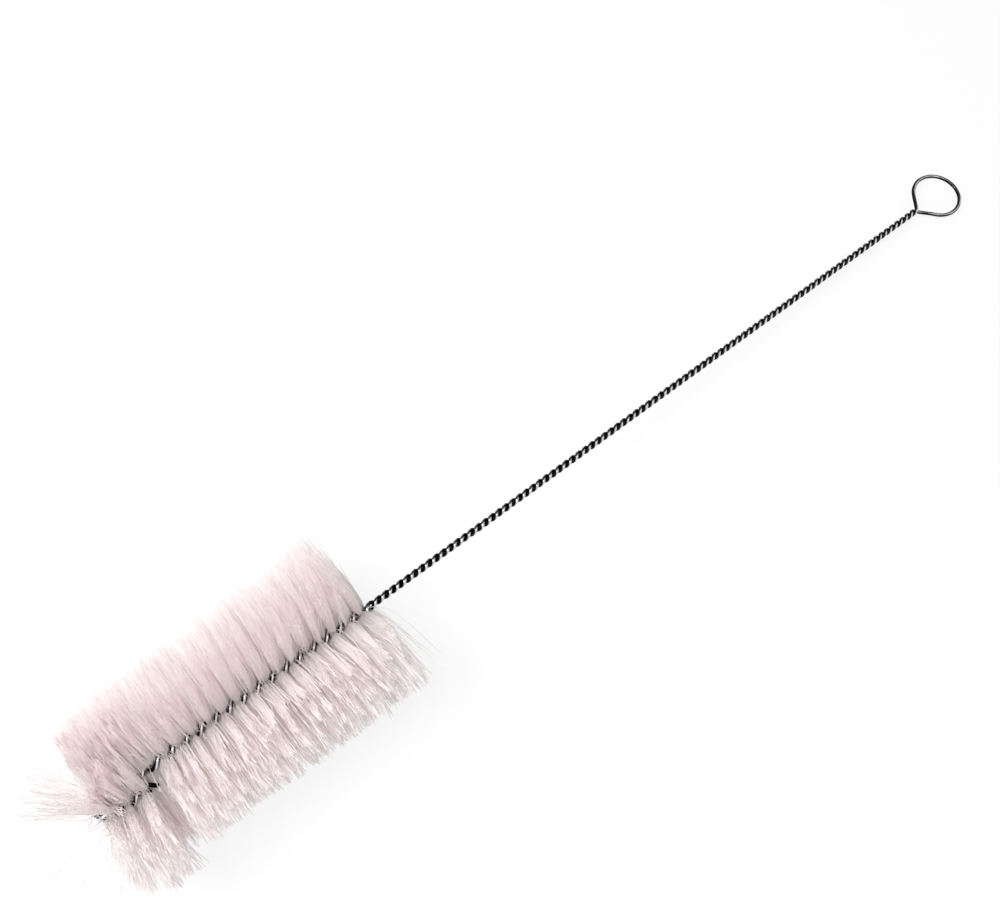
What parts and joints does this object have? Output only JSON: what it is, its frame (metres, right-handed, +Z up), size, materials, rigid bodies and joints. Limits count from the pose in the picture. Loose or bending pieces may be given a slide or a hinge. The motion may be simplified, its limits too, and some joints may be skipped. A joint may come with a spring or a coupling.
{
  "type": "bottle brush",
  "caption": "Twisted-wire bottle brush: a round head of pale bristles in helical rows, a tip turned back into a fan, a long bare handle and a round hanging eye.",
  "frame": {"origin": "on the table that the brush lies on, under the stem, halfway along its length", "axes": "+X from the bristled tip to the hanging eye, +Y to the side away from the turned-back tail, +Z up"},
  "size_m": [0.4348, 0.0663, 0.0697],
  "materials": {
    "wire": "drawn steel wire, bare and bright, darkened in the twist",
    "bristles": "natural crimped nylon, off-white with a rosy tint"
  },
  "bodies": {
    "root": {"wire": "wire", "head_bristles": "bristles", "tip_bristles": "bristles"}
  },
  "joints": []
}
